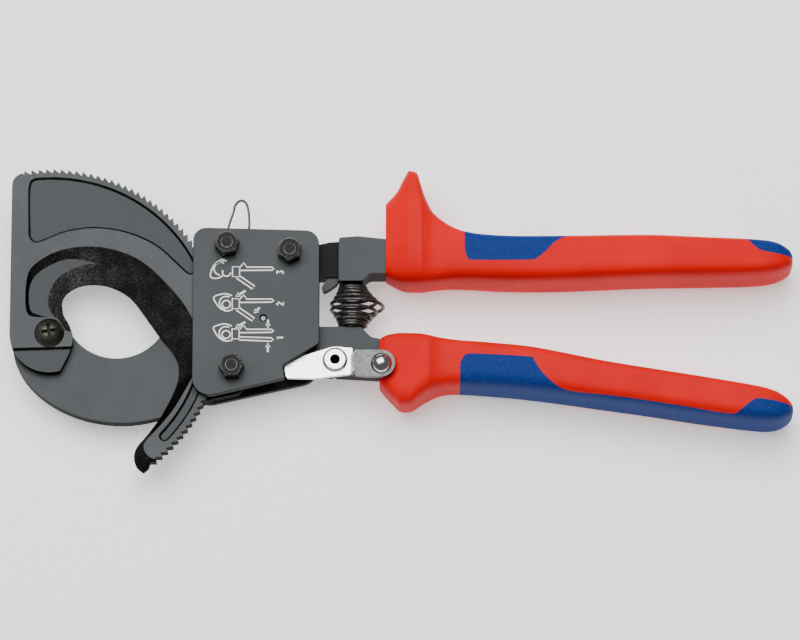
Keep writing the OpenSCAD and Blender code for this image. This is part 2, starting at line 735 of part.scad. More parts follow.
module lock_lever() {
    high = lever_z + lever_step;
    ramp = [
        [94.9, lever_z], [96.8, lever_z], [98.3, high], [98.3, high + lever_t], [97.4, high + lever_t],
        [95.9, lever_z + lever_t], [94.9, lever_z + lever_t]
    ];
    color("#d4d6d8") place() difference() {
        union() {
            slab(lever_z, lever_z + lever_t, rounded(lever_low));
            translate([0, -7.2, 0]) rotate([90, 0, 0]) linear_extrude(6.3) polygon(ramp);
            slab(high, high + lever_t, rounded(lever_high));
            slab(high, high + lever_t,
                [[100, -7.2], knob_at + [0, lever_end_r], knob_at - [0, lever_end_r], [100, -16]]);
            rod(knob_at, lever_end_r, high, high + lever_t);
        }
        rod(lever_pivot, rivet_r + slip, lever_z - 1, high);
        rod(knob_at, 1.4, high - 1, high + 3);
    }
}

// Rivet of the lever, hollow from the front and rolled over there; its rear head is sunk flush into the tang.
module lever_rivet() {
    bore = 1.5;
    z1 = lever_z + lever_t + slip;
    color("#c9cbcd") place() difference() {
        union() {
            rod(lever_pivot, rivet_r, z_gap + slip, z1 + 0.1);
            rod(lever_pivot, lip_r, z_gap + slip, z_gap + slip + lip_h);
            translate([lever_pivot[0], lever_pivot[1], z1]) cylinder(h = lip_h, r1 = lip_r, r2 = lip_r - 0.8);
        }
        rod(lever_pivot, bore, z_gap + 1.5, z1 + 3);
    }
}

module lever_knob() {
    dome_h = 2.6;
    dome_r = (knob_r * knob_r + dome_h * dome_h) / (2 * dome_h);
    color("#d9dbdd") place() union() {
        intersection() {
            translate([knob_at[0], knob_at[1], knob_z + dome_h - dome_r]) sphere(r = dome_r);
            rod(knob_at, knob_r, knob_z, knob_z + dome_h);
        }
        rod(knob_at, 1.4, knob_z - lever_t, knob_z + 0.5);
    }
}

front_cover();
rear_cover();
fixed_blade();
moving_blade();
pivot_screw();
pivot_sleeve();
cover_screws();
cover_nuts();
spacer_bush();
pawl_bush();
upper_tang();
tang_rivet();
stop_pin();
upper_grip();
upper_grip_inlays();
upper_spring_seat();
lower_tang();
handle_pin();
handle_washer();
lower_grip();
lower_grip_inlay();
lower_spring_seat();
return_spring();
drive_pawl();
drive_pawl_pin();
drive_pawl_spring();
holding_pawl();
holding_pawl_spring();
release_wire();
lock_lever();
lever_rivet();
lever_knob();
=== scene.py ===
"""Looks of the ratcheting cable cutter: fine grips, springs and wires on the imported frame, and materials."""

import json
import math

import bmesh
import bpy
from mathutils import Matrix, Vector

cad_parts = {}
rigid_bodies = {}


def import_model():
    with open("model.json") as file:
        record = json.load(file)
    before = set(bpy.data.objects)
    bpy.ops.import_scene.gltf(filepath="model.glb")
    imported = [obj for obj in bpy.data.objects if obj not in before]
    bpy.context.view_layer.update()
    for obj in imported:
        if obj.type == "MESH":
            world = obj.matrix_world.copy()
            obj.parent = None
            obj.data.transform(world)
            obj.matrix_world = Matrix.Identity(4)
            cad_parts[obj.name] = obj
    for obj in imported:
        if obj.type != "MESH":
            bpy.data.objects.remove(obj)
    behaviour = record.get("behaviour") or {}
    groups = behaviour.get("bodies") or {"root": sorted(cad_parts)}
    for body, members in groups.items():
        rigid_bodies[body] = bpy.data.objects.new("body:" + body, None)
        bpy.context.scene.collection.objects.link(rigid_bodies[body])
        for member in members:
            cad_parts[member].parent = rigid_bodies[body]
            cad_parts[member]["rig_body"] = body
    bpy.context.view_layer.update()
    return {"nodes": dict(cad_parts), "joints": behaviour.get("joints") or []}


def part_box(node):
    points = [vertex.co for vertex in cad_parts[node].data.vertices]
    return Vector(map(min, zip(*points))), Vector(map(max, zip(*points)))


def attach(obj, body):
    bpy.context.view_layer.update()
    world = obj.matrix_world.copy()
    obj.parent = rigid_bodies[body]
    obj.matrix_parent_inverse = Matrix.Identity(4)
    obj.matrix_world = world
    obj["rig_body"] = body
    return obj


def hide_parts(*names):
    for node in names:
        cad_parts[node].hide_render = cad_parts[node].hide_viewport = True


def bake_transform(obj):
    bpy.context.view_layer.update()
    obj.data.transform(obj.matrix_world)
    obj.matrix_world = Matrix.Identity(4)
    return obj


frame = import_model()

MM = 0.001
PIVOT = Vector(next(j["pos_m"] for j in frame["joints"] if j["name"] == "blade_pivot"))


# ---- Places and curves, in millimetres from the blade pivot, seen from the front ----


def at(x, y, z):
    """A point of the scene, in metres. z is the height above the ground."""
    return Vector((PIVOT.x + x * MM, PIVOT.y + y * MM, z * MM))


def smooth(points, steps):
    """Catmull-Rom curve through all the points, with that many steps between each two."""
    last = len(points) - 1
    out = []
    for i in range(last):
        a, b, c, d = (Vector(points[min(max(k, 0), last)]) for k in (i - 1, i, i + 1, i + 2))
        speed = c - a
        square = 2 * a - 5 * b + 4 * c - d
        cube = 3 * b - a - 3 * c + d
        for k in range(steps):
            t = k / steps
            out.append(0.5 * (2 * b + speed * t + square * t**2 + cube * t**3))
    return out + [Vector(points[last])]


def smooth_rows(rows, steps):
    """The same curve for rows of any length, such as x, top, bottom and half thickness."""
    pairs = [smooth([(r[0], r[k], 0) for r in rows], steps) for k in range(1, len(rows[0]))]
    return [[pairs[0][i].x] + [p[i].y for p in pairs] for i in range(len(pairs[0]))]


# ---- Meshes ----

SAME_PLACE = 1e-6  # points closer than this, in metres, are welded
FLAT_DEGREES = 0.4  # faces that meet at less than this become one


def new_object(name, mesh):
    made = bpy.data.objects.new(name, mesh)
    bpy.context.scene.collection.objects.link(made)
    return made


def finish_mesh(bm, name, sharp_degrees=35):
    """A smooth-shaded object from bm, with its edges sharp above that angle."""
    bm.normal_update()
    for face in bm.faces:
        face.smooth = True
    for edge in bm.edges:
        edge.smooth = len(edge.link_faces) == 2 and edge.calc_face_angle(0) < math.radians(sharp_degrees)
    mesh = bpy.data.meshes.new(name)
    bm.to_mesh(mesh)
    bm.free()
    return new_object(name, mesh)


def skin(name, rings, sharp_degrees=35):
    """Closed solid over rings that have the same number of points."""
    bm = bmesh.new()
    rows = [[bm.verts.new(p) for p in ring] for ring in rings]
    n = len(rings[0])
    for low, high in zip(rows, rows[1:]):
        for k in range(n):
            bm.faces.new((low[k], low[(k + 1) % n], high[(k + 1) % n], high[k]))
    bm.faces.new(rows[0][::-1])
    bm.faces.new(rows[-1])
    bmesh.ops.recalc_face_normals(bm, faces=bm.faces)
    return finish_mesh(bm, name, sharp_degrees)


def tube(name, path, radius, sides=12):
    """Round wire along a path, with its cross-section carried along without twist."""
    rings = []
    side = Vector((0, 0, 1))
    for i, point in enumerate(path):
        along = (path[min(i + 1, len(path) - 1)] - path[max(i - 1, 0)]).normalized()
        side = side - along * side.dot(along)
        side = along.orthogonal() if side.length < 1e-6 else side
        side.normalize()
        up = along.cross(side)
        angles = [math.tau * k / sides for k in range(sides)]
        rings.append([point + radius * (math.cos(a) * side + math.sin(a) * up) for a in angles])
    return skin(name, rings, sharp_degrees=60)


def prism(name, outline, z0, z1):
    """Upright solid over an outline in millimetres."""
    return skin(name, [[at(x, y, z) for x, y in outline] for z in (z0, z1)])


def bake(obj):
    """Applies obj's modifiers to its mesh."""
    bpy.context.view_layer.update()
    graph = bpy.context.evaluated_depsgraph_get()
    mesh = bpy.data.meshes.new_from_object(obj.evaluated_get(graph))
    obj.modifiers.clear()
    obj.data = mesh


def cut(obj, tool, operation):
    step = obj.modifiers.new("cut", "BOOLEAN")
    step.object = tool
    step.operation = operation
    step.solver = "EXACT"
    bake(obj)


def rounded_edges(obj, width_mm, segments=2, degrees=38):
    step = obj.modifiers.new("round", "BEVEL")
    step.limit_method = "ANGLE"
    step.angle_limit = math.radians(degrees)
    step.width = width_mm * MM
    step.segments = segments
    step.use_clamp_overlap = True
    step.harden_normals = True


def eased_rims(bm, width_mm, deepest_mm):
    """Rounds the rims of shallow recesses: edges between a flat on top and a wall of at most that depth."""
    level, upright = 0.99, 0.1  # vertical part of a flat's normal, at least, and of a wall's, at most
    bm.normal_update()
    rims = []
    for edge in bm.edges:
        if len(edge.link_faces) != 2:
            continue
        flat, wall = sorted(edge.link_faces, key=lambda f: -abs(f.normal.z))
        tall = max(v.co.z for v in wall.verts) - min(v.co.z for v in wall.verts)
        if flat.normal.z > level and abs(wall.normal.z) < upright and tall < deepest_mm * MM:
            rims.append(edge)
    bmesh.ops.bevel(
        bm, geom=rims, offset=width_mm * MM, offset_type="OFFSET", segments=3, profile=0.5, affect="EDGES",
        clamp_overlap=False,
    )
    bmesh.ops.remove_doubles(bm, verts=bm.verts, dist=SAME_PLACE)


def refined(node, width_mm, degrees):
    """A welded copy of a CAD node with its edges softened, which stands in for the node."""
    bm = bmesh.new()
    bm.from_mesh(frame["nodes"][node].data)
    bmesh.ops.remove_doubles(bm, verts=bm.verts, dist=SAME_PLACE)
    bmesh.ops.dissolve_limit(bm, angle_limit=math.radians(FLAT_DEGREES), verts=bm.verts, edges=bm.edges)
    if node in RIMS_MM:
        eased_rims(bm, *RIMS_MM[node])
    made = finish_mesh(bm, node + "_fine", degrees)
    rounded_edges(made, width_mm, degrees=degrees)
    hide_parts(node)
    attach(made, frame["nodes"][node]["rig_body"])
    return made


# ---- Materials ----


class Looks:
    """A node material: noise and masks are read in the scene at rest, in metres, and move with the piece."""

    def __init__(self, name, **shader):
        self.material = bpy.data.materials.new(name)
        self.material.use_nodes = True
        self.nodes = self.material.node_tree.nodes
        self.links = self.material.node_tree.links
        self.shader = self.nodes["Principled BSDF"]
        for socket, value in shader.items():
            self.shader.inputs[socket.replace("_", " ")].default_value = value
        self.place = self.node("ShaderNodeTexCoord").outputs["Object"]
        self.facing = self.node("ShaderNodeNewGeometry").outputs["True Normal"]

    def node(self, kind, **settings):
        made = self.nodes.new(kind)
        for key, value in settings.items():
            setattr(made, key, value)
        return made

    def feed(self, socket, value):
        if isinstance(value, bpy.types.NodeSocket):
            self.links.new(value, socket)
        else:
            socket.default_value = value

    def axis(self, source, index):
        split = self.node("ShaderNodeSeparateXYZ")
        self.feed(split.inputs[0], source)
        return split.outputs[index]

    def math(self, operation, a, b=0.0):
        made = self.node("ShaderNodeMath", operation=operation)
        self.feed(made.inputs[0], a)
        self.feed(made.inputs[1], b)
        return made.outputs[0]

    def fade(self, value, low, high, to_low=0.0, to_high=1.0):
        """to_low below low, to_high above high, and a smooth change between them."""
        made = self.node("ShaderNodeMapRange", interpolation_type="SMOOTHSTEP")
        for socket, number in zip(made.inputs[:5], (value, low, high, to_low, to_high)):
            self.feed(socket, number)
        return made.outputs[0]

    def noise(self, scale, detail=4.0, stretch=(1, 1, 1), roughness=0.55):
        mapping = self.node("ShaderNodeMapping")
        mapping.inputs["Scale"].default_value = stretch
        self.feed(mapping.inputs["Vector"], self.place)
        made = self.node("ShaderNodeTexNoise")
        self.feed(made.inputs["Vector"], mapping.outputs[0])
        made.inputs["Scale"].default_value = scale
        made.inputs["Detail"].default_value = detail
        made.inputs["Roughness"].default_value = roughness
        return made.outputs[0]

    def grains(self, scale):
        made = self.node("ShaderNodeTexVoronoi")
        self.feed(made.inputs["Vector"], self.place)
        made.inputs["Scale"].default_value = scale
        return made.outputs["Distance"]

    def mix(self, factor, a, b):
        made = self.node("ShaderNodeMix", data_type="RGBA")
        for socket, value in zip((made.inputs[0], made.inputs[6], made.inputs[7]), (factor, a, b)):
            self.feed(socket, value)
        return made.outputs[2]

    def scaled(self, color, by):
        """color times a number that varies over the surface."""
        made = self.node("ShaderNodeVectorMath", operation="SCALE")
        self.feed(made.inputs[0], color if isinstance(color, bpy.types.NodeSocket) else color[:3])
        self.feed(made.inputs["Scale"], by)
        return made.outputs[0]

    def bump(self, height, strength, depth_mm, under=None):
        made = self.node("ShaderNodeBump")
        made.inputs["Strength"].default_value = strength
        made.inputs["Distance"].default_value = depth_mm * MM
        self.feed(made.inputs["Height"], height)
        if under is not None:
            self.feed(made.inputs["Normal"], under)
        return made.outputs[0]

    def done(self, color=None, roughness=None, normal=None, metallic=None):
        inputs = {"Base Color": color, "Roughness": roughness, "Normal": normal, "Metallic": metallic}
        for name, value in inputs.items():
            if value is not None:
                self.feed(self.shader.inputs[name], value)
        return self.material


def grey(value, tint=(1.0, 1.0, 1.0)):
    return (value * tint[0], value * tint[1], value * tint[2], 1.0)


COLD = (0.93, 1.0, 1.04)
FLAT = (0.984, 0.997)  # how far up or down a face looks, from a slope to a flat
STEEP = (0.55, 0.9)  # and from an upright wall, which stays black, to a slope


def flat_mask(look):
    """1 on faces that look straight up or down, 0 on walls and slopes."""
    up = look.math("ABSOLUTE", look.axis(look.facing, 2))
    return look.fade(up, *FLAT)


def burnished_steel(name, shine, cast=0.006, floors=()):
    """Blued steel: ground flats over a black rough cast body. Each of floors is a low and a high level, in
    millimetres, of flats that were left as cast, and their grey."""
    look = Looks(name, Specular_IOR_Level=0.05)
    height = look.axis(look.place, 2)
    ground = flat_mask(look)
    sheen_from, sheen_to = PIVOT.x + 4 * MM, PIVOT.x + 30 * MM
    patches = look.noise(55, 3)
    grain = look.noise(2100, 4, roughness=0.65)
    lines = look.noise(260, 4, (1, 14, 1))
    tone = look.fade(patches, 0.35, 0.7, 0.93, 1.08)
    tone = look.math("MULTIPLY", tone, look.fade(lines, 0.3, 0.75, 0.95, 1.05))
    bright = look.scaled(grey(shine, COLD), tone)
    # Painted sheen: the cast slopes are painted lighter near the pivot and darker further right, in patches.
    wear_and_painted_sheen = look.fade(look.axis(look.place, 0), sheen_from, sheen_to, 3.4, 1.2)
    wear_and_painted_sheen = look.math("MULTIPLY", wear_and_painted_sheen, look.fade(look.noise(160, 3), 0.4, 0.62, 0.6, 1.3))
    dark = look.mix(look.fade(grain, 0.4, 0.68), grey(cast * 0.5), grey(cast * 4.2, (1.0, 0.97, 0.92)))
    # Painted shade: upright walls are painted black, and steep slopes darker than gentle ones.
    slope = look.fade(look.math("ABSOLUTE", look.axis(look.facing, 2)), *STEEP)
    dark = look.scaled(dark, look.math("MULTIPLY", wear_and_painted_sheen, slope))
    color = look.mix(ground, dark, bright)
    rough = look.fade(grain, 0.3, 0.8, 0.34, 0.46)
    soft = 0.05
    for low, high, shade in floors:
        inside = look.math("MULTIPLY", look.fade(height, low * MM, (low + soft) * MM), ground)
        inside = look.math("MULTIPLY", inside, look.fade(height, (high - soft) * MM, high * MM, 1.0, 0.0))
        speck = look.mix(look.fade(grain, 0.38, 0.66), grey(shade * 0.8, COLD), grey(shade * 1.15, COLD))
        color = look.mix(inside, color, speck)
        rough = look.math("ADD", rough, look.math("MULTIPLY", inside, 0.1))
    rough = look.math("ADD", rough, look.fade(ground, 0, 1, 0.16, 0.0))
    depth = look.math("MULTIPLY", look.noise(900, 6, roughness=0.7), look.fade(ground, 0, 1, 1.0, 0.04))
    fine = look.bump(look.math("MULTIPLY", lines, 0.5), 0.1, 0.02)
    metallic = look.math("MULTIPLY", ground, 0.55)
    return look.done(color, rough, look.bump(depth, 0.7, 0.22, fine), metallic)


def plate_steel(name="blued_plate", shade=0.041):
    """Blued sheet of the covers and tangs. Its cut edges and other walls are painted much darker than the
    flats, as painted shade.
    """
    look = Looks(name, Specular_IOR_Level=0.05)
    ground = flat_mask(look)
    grain = look.noise(2400, 3)
    clouds = look.fade(look.noise(38, 3), 0.35, 0.7)
    face = look.mix(clouds, grey(shade * 0.92, COLD), grey(shade * 1.06, COLD))
    face = look.mix(look.fade(grain, 0.45, 0.8), face, grey(shade * 1.22, COLD))
    # Painted shade: every face that is not flat, cut edges and walls alike, gets this near-black colour.
    edge = look.mix(look.fade(grain, 0.4, 0.8), grey(shade * 0.12), grey(shade * 0.4))
    color = look.mix(ground, edge, face)
    metallic = look.math("MULTIPLY", ground, 0.55)
    return look.done(color, look.fade(grain, 0.3, 0.8, 0.36, 0.5), look.bump(grain, 0.16, 0.03), metallic)


def black_fastener():
    """Black oxide, with a painted highlight on the chamfers and rounded rims."""
    look = Looks("black_fastener", Metallic=0.6, Specular_IOR_Level=0.15)
    up = look.axis(look.facing, 2)
    # Painted highlight: the faces between the top and the flanks, the chamfers and rounded rims, are painted
    # bright grey in patches.
    chamfer = look.math("MULTIPLY", look.fade(up, 0.72, 0.8), look.fade(up, 0.985, 0.995, 1.0, 0.0))
    wear = look.fade(look.noise(1500, 4), 0.35, 0.65)
    wear_and_painted_sheen = look.math("MULTIPLY", chamfer, look.fade(wear, 0, 1, 0.25, 1.0))
    base = look.mix(wear, grey(0.003), grey(0.014, (1.0, 0.98, 0.94)))
    color = look.mix(wear_and_painted_sheen, base, grey(0.3, (1.0, 0.99, 0.96)))
    return look.done(color, look.fade(wear, 0, 1, 0.28, 0.46), look.bump(look.noise(1600, 3), 0.3, 0.05))


def painted_recess_shade(name):
    """Painted shade for surfaces deep in a recess or a gap: black, with a trace of oil."""
    look = Looks(name, Specular_IOR_Level=0.12)
    grain = look.noise(1800, 3)
    color = look.mix(look.fade(grain, 0.4, 0.7), grey(0.003), grey(0.012))
    return look.done(color, look.fade(grain, 0.3, 0.8, 0.4, 0.6), look.bump(grain, 0.2, 0.04))


def metal(name, shade, rough, tint=COLD, wear=0.25, grain_scale=900):
    """Bare or plated metal. wear is how much its clouds darken it."""
    look = Looks(name, Metallic=1.0)
    grain = look.noise(grain_scale, 4)
    clouds = look.fade(look.noise(120, 3), 0.3, 0.7, 1 - wear, 1 + wear * 0.5)
    color = look.scaled(grey(shade, tint), clouds)
    roughness = look.fade(grain, 0.3, 0.75, rough * 0.75, rough * 1.3)
    return look.done(color, roughness, look.bump(grain, 0.16, 0.03))


def red_plastic():
    look = Looks("red_grip", Specular_IOR_Level=0.06)
    grain = look.grains(2300)
    clouds = look.fade(look.noise(45, 2), 0.35, 0.7)
    color = look.mix(clouds, (0.64, 0.0008, 0.0025, 1), (0.72, 0.0016, 0.0035, 1))
    return look.done(color, look.fade(grain, 0.1, 0.7, 0.36, 0.48), look.bump(grain, 0.14, 0.04))


def blue_plastic():
    look = Looks("blue_inlay", Specular_IOR_Level=0.08)
    grain = look.grains(1900)
    fine = look.noise(2600, 3)
    speck = look.math("ADD", look.math("MULTIPLY", grain, 0.7), look.math("MULTIPLY", fine, 0.5))
    color = look.mix(look.fade(speck, 0.35, 0.85), (0.0025, 0.02, 0.135, 1), (0.009, 0.038, 0.22, 1))
    return look.done(color, look.fade(grain, 0.1, 0.7, 0.44, 0.62), look.bump(speck, 0.4, 0.08))


def white_ink():
    look = Looks("white_ink", Specular_IOR_Level=0.2)
    wear_and_painted_sheen = look.fade(look.noise(2200, 3), 0.25, 0.45)
    color = look.mix(wear_and_painted_sheen, grey(0.7), grey(0.96))
    return look.done(color, look.fade(wear_and_painted_sheen, 0, 1, 0.7, 0.5), look.bump(wear_and_painted_sheen, 0.1, 0.02))


def oiled_spring():
    look = Looks("spring_steel", Metallic=0.55)
    grain = look.noise(700, 4)
    color = look.mix(look.fade(grain, 0.35, 0.7), (0.028, 0.027, 0.026, 1), (0.085, 0.08, 0.075, 1))
    return look.done(color, look.fade(grain, 0.3, 0.8, 0.28, 0.42), look.bump(grain, 0.2, 0.04))


CAST_FLOORS = [(14.3, 15.3, 0.048), (13.0, 14.25, 0.047)]
BLADE = burnished_steel("blade_steel", 0.046, cast=0.005, floors=CAST_FLOORS)
FIXED = burnished_steel("fixed_blade_steel", 0.039)
PLATE = plate_steel()
SHADED_PLATE = plate_steel("shaded_plate", 0.008)
FASTENER = black_fastener()
RECESS_SHADE = painted_recess_shade("recess_painted_shade")
PIVOT_STEEL = metal("pivot_steel", 0.085, 0.42, tint=(1.0, 0.97, 0.8), wear=0.3, grain_scale=1800)
PLAIN = metal("plain_steel", 0.14, 0.36)
WIRE = metal("wire_steel", 0.055, 0.26)
ZINC = metal("zinc_plate", 0.9, 0.3, tint=(0.98, 1.0, 1.0), wear=0.06, grain_scale=500)
# Darker copy of the zinc: painted shade on the raised tail of the lock lever.
SHADED_ZINC = metal("zinc_in_painted_shade", 0.105, 0.4, tint=(0.99, 1.0, 1.0), wear=0.15, grain_scale=1200)
POLISH = metal("polished_knob", 0.6, 0.17, tint=(0.98, 1.0, 1.0), wear=0.05)
SPRING = oiled_spring()
RED = red_plastic()
BLUE = blue_plastic()
INK = white_ink()


def paint(obj, material):
    obj.data.materials.clear()
    obj.data.materials.append(material)
    return obj


def paint_where(obj, material, test):
    """Gives the faces whose middle passes the test a second material.

    The test reads x and y from the pivot, and the height z, in millimetres."""
    obj.data.materials.append(material)
    for face in obj.data.polygons:
        spot = face.center
        if test((spot.x - PIVOT.x) / MM, (spot.y - PIVOT.y) / MM, spot.z / MM):
            face.material_index = 1


# ---- Carried-over CAD parts, with softened edges ----

# Rounding of the rims of a node's shallow recesses, and the depth of the deepest such recess.
RIMS_MM = {"moving_blade": (0.38, 1.3)}
# Edges whose faces meet at more than this are sharp and get rounded.
SHARP_DEGREES = 30
BLADE_SHARP_DEGREES = 9
# Rounding of every node's edges, and its material.
EDGES_MM = {
    "front_cover": (0.35, PLATE),
    "rear_cover": (0.35, PLATE),
    "fixed_blade": (0.4, FIXED),
    "moving_blade": (0.12, BLADE),
    "pivot_screw": (0.15, PIVOT_STEEL),
    "pivot_sleeve": (0.2, PIVOT_STEEL),
    "cover_screws": (0.25, FASTENER),
    "cover_nuts": (0.34, FASTENER),
    "upper_tang": (0.4, PLATE),
    "lower_tang": (0.4, PLATE),
    "tang_rivet": (0.2, PLAIN),
    "stop_pin": (0.15, PLAIN),
    "handle_pin": (0.2, PLAIN),
    "handle_washer": (0.15, PLAIN),
    "spacer_bush": (0.1, PLAIN),
    "pawl_bush": (0.1, PLAIN),
    "upper_spring_seat": (0.3, PLAIN),
    "lower_spring_seat": (0.3, PLAIN),
    "drive_pawl": (0.06, PLAIN),
    "drive_pawl_pin": (0.15, PLAIN),
    "holding_pawl": (0.06, PLAIN),
    "lock_lever": (0.35, ZINC),
    "lever_rivet": (0.2, ZINC),
    "lever_knob": (0.1, POLISH),
}


def carry_over():
    """Every CAD part whose shape stays, with softened edges and its material."""
    fine = {}
    for node, (width, material) in EDGES_MM.items():
        degrees = BLADE_SHARP_DEGREES if node == "moving_blade" else SHARP_DEGREES
        fine[node] = paint(refined(node, width, degrees), material)
    # Painted shade: the cross recess of the pivot screw is painted black.
    cross_r, cross_top = 2.6, 17.2
    paint_where(fine["pivot_screw"], RECESS_SHADE, lambda x, y, z: math.hypot(x, y) < cross_r and z < cross_top)
    neck_low, tab_top = 13.5, 18
    paint_where(fine["upper_tang"], SHADED_PLATE, lambda x, y, z: z < neck_low and y > tab_top)
    # Painted shade: the raised tail of the lock lever gets the darker copy of its zinc.
    step_x = 96.6
    paint_where(fine["lock_lever"], SHADED_ZINC, lambda x, y, z: x > step_x)
    # Painted shade: the bore of the lever rivet is painted black.
    bore_r, bore_top = 1.7, 15.6
    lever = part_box("lever_rivet")
    middle = (lever[0] + lever[1]) / 2 - PIVOT
    paint_where(
        fine["lever_rivet"], RECESS_SHADE,
        lambda x, y, z: math.hypot(x - middle.x / MM, y - middle.y / MM) < bore_r and z < bore_top,
    )


carry_over()

# ---- Grips ----

AXIS_Z = 11.0
GRIP_SIDES = 88
SQUARENESS = 4.6
# Stations along the handle: x, top, bottom and half thickness, in millimetres.
UPPER_GRIP = [
    (107, 43, 18.8, 7.4), (110.4, 46.6, 17, 9), (112.3, 50.2, 16.3, 10), (114.2, 53.6, 16, 11),
    (114.7, 53.7, 16, 11), (117, 52.9, 16, 11), (118.2, 49.2, 16, 11), (118.8, 47.2, 16, 10.8),
    (120, 43.9, 16.2, 10.3), (122.4, 39.5, 16.5, 9.7), (127.5, 35.4, 17, 9.8), (134, 32.9, 17, 10.2),
    (146, 31.7, 16.5, 10.7), (163, 31.6, 16.6, 11), (190, 31.9, 17.7, 11), (207, 31.2, 18, 11),
    (224, 30.4, 18.4, 10.8), (231, 29.5, 19.3, 10.2), (235, 27.6, 20.9, 8.6), (236.6, 26, 22.2, 6.2),
    (237, 24.9, 23.3, 3),
]
LOWER_GRIP = [
    (105, -1.8, -16.8, 6.2), (107, -0.7, -19.3, 7.5), (109.8, -0.1, -22.2, 8.2), (111.6, 0, -23.7, 8.7),
    (115, -0.2, -23.7, 9.7), (118, -0.5, -21.6, 10.6), (120.4, -1.1, -20, 11), (121, -1.2, -19.7, 10.9),
    (124.6, -1.9, -18.3, 9.9), (130, -2.7, -17.8, 9.9), (140, -3.6, -18.3, 10.4), (154.4, -5.3, -19.6, 11),
    (176, -9.7, -22.6, 11), (190, -12.1, -24.6, 11), (207, -14.9, -27.3, 11), (224, -17.9, -29.5, 10.8),
    (230.5, -19.7, -29.6, 10.2), (234.2, -22, -28.2, 8.6), (235.9, -23.8, -26.8, 6), (236.3, -24.7, -25.9, 3),
]
# Outlines of the inlays from the front. Their first and last points are corners outside the grip.
INLAYS = {
    "upper": [
        [(132.1, 36), (132.2, 25.8), (133, 23.6), (135.2, 22.5), (152.8, 22.4), (155.4, 23.2), (158, 25.3),
         (161.2, 28.6), (165.5, 31), (170, 36)],
        [(219, 34), (222.6, 29), (225.2, 26.4), (228.2, 25.2), (240, 23.6), (240, 34)],
    ],
    "lower": [
        [(130.4, -36), (130.6, -11.4), (131.8, -9.2), (134.6, -8.4), (152.2, -9.6), (154, -10.8),
         (156.8, -15), (161.4, -19), (166.7, -20.6), (180.7, -22.3), (198.3, -25), (215.4, -27.8),
         (219, -27), (222.6, -24.2), (226, -23.3), (240, -25.6), (240, -36)],
    ],
}


def grip_section(station):
    """Rounded rectangle across a grip, as a superellipse."""
    x, top, bottom, half = station
    mid = (top + bottom) / 2
    tall = (top - bottom) / 2
    half = min(half, AXIS_Z)
    power = 2 / SQUARENESS
    ring = []
    for k in range(GRIP_SIDES):
        angle = math.tau * k / GRIP_SIDES
        c, s = math.cos(angle), math.sin(angle)
        y = mid + tall * math.copysign(abs(c) ** power, c)
        z = AXIS_Z + half * math.copysign(abs(s) ** power, s)
        ring.append(at(x, y, z))
    return ring


def grip_body(name, stations):
    rows = smooth_rows(stations, steps=8)
    return skin(name, [grip_section(row) for row in rows], sharp_degrees=50)


def inlay_tools(side):
    """Tall solids that cut a grip into its red body and its blue inlays."""
    below, above = -5, 27
    tools = []
    for area in INLAYS[side]:
        inner = [tuple(p)[:2] for p in smooth([(x, y, 0) for x, y in area[1:-1]], 5)]
        tools.append(prism("inlay_tool", [area[0]] + inner + [area[-1]], below, above))
    return tools


def grip(side, stations, inlay_node):
    """A red grip with its blue inlays as pieces of their own."""
    body = "frame" if side == "upper" else "handle"
    red = grip_body(side + "_grip_fine", stations)
    tools = inlay_tools(side)
    for i, tool in enumerate(tools):
        blue = grip_body(f"{side}_inlay_fine_{i + 1}", stations)
        cut(blue, tool, "INTERSECT")
        rounded_edges(blue, 0.3, segments=3)
        paint(blue, BLUE)
        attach(blue, body)
        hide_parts(inlay_node)
        cut(red, tool, "DIFFERENCE")
    for tool in tools:
        bpy.data.objects.remove(tool)
    rounded_edges(red, 0.25, segments=3)
    paint(red, RED)
    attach(red, body)
    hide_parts(side + "_grip")


grip("upper", UPPER_GRIP, "upper_grip_inlays")
grip("lower", LOWER_GRIP, "lower_grip_inlay")

# ---- Springs and wires ----


def handle_spring():
    """Double cone: the turns are close at both ends and open in the middle."""
    turns, wire = 10, 1.2
    x, z = 96.5, 10.5
    low, high = 2.75 + wire / 2, 16.95 - wire / 2
    end_r, swell, lean = 4.1, 4.5, 1.1
    narrowing, opening = 2.2, 0.16
    steps = 36 * turns
    path = []
    for i in range(steps + 1):
        t = i / steps
        from_middle = 2 * t - 1
        angle = math.tau * turns * t
        bulge = (1 - abs(from_middle)) ** narrowing
        across = end_r + swell * bulge
        rise = 0.5 + 0.5 * (from_middle + opening * math.sin(math.pi * from_middle))
        right = x + lean * bulge + across * math.cos(angle)
        path.append(at(right, low + (high - low) * rise, z + across * math.sin(angle)))
    spring = paint(tube("return_spring_fine", path, wire / 2 * MM), SPRING)
    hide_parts("return_spring")
    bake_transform(spring)


def pawl_spring(node, centre, radius, wire, z, start, leg, body):
    """Two close turns around a pawl's pin, from the start angle, and a straight leg."""
    turns, steps, leg_steps = 2, 32, 4
    path = []
    for i in range(turns * steps + 1):
        angle = math.radians(start) + math.tau * i / steps
        x = centre[0] + radius * math.cos(angle)
        y = centre[1] + radius * math.sin(angle)
        path.append(at(x, y, z + wire * i / steps))
    end = path[-1]
    away = (path[-1] - path[-2]).normalized()
    away.z = 0
    path += [end + away * leg * MM * k / leg_steps for k in range(1, leg_steps + 1)]
    spring = paint(tube(node + "_fine", path, wire / 2 * MM), WIRE)
    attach(spring, body)
    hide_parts(node)


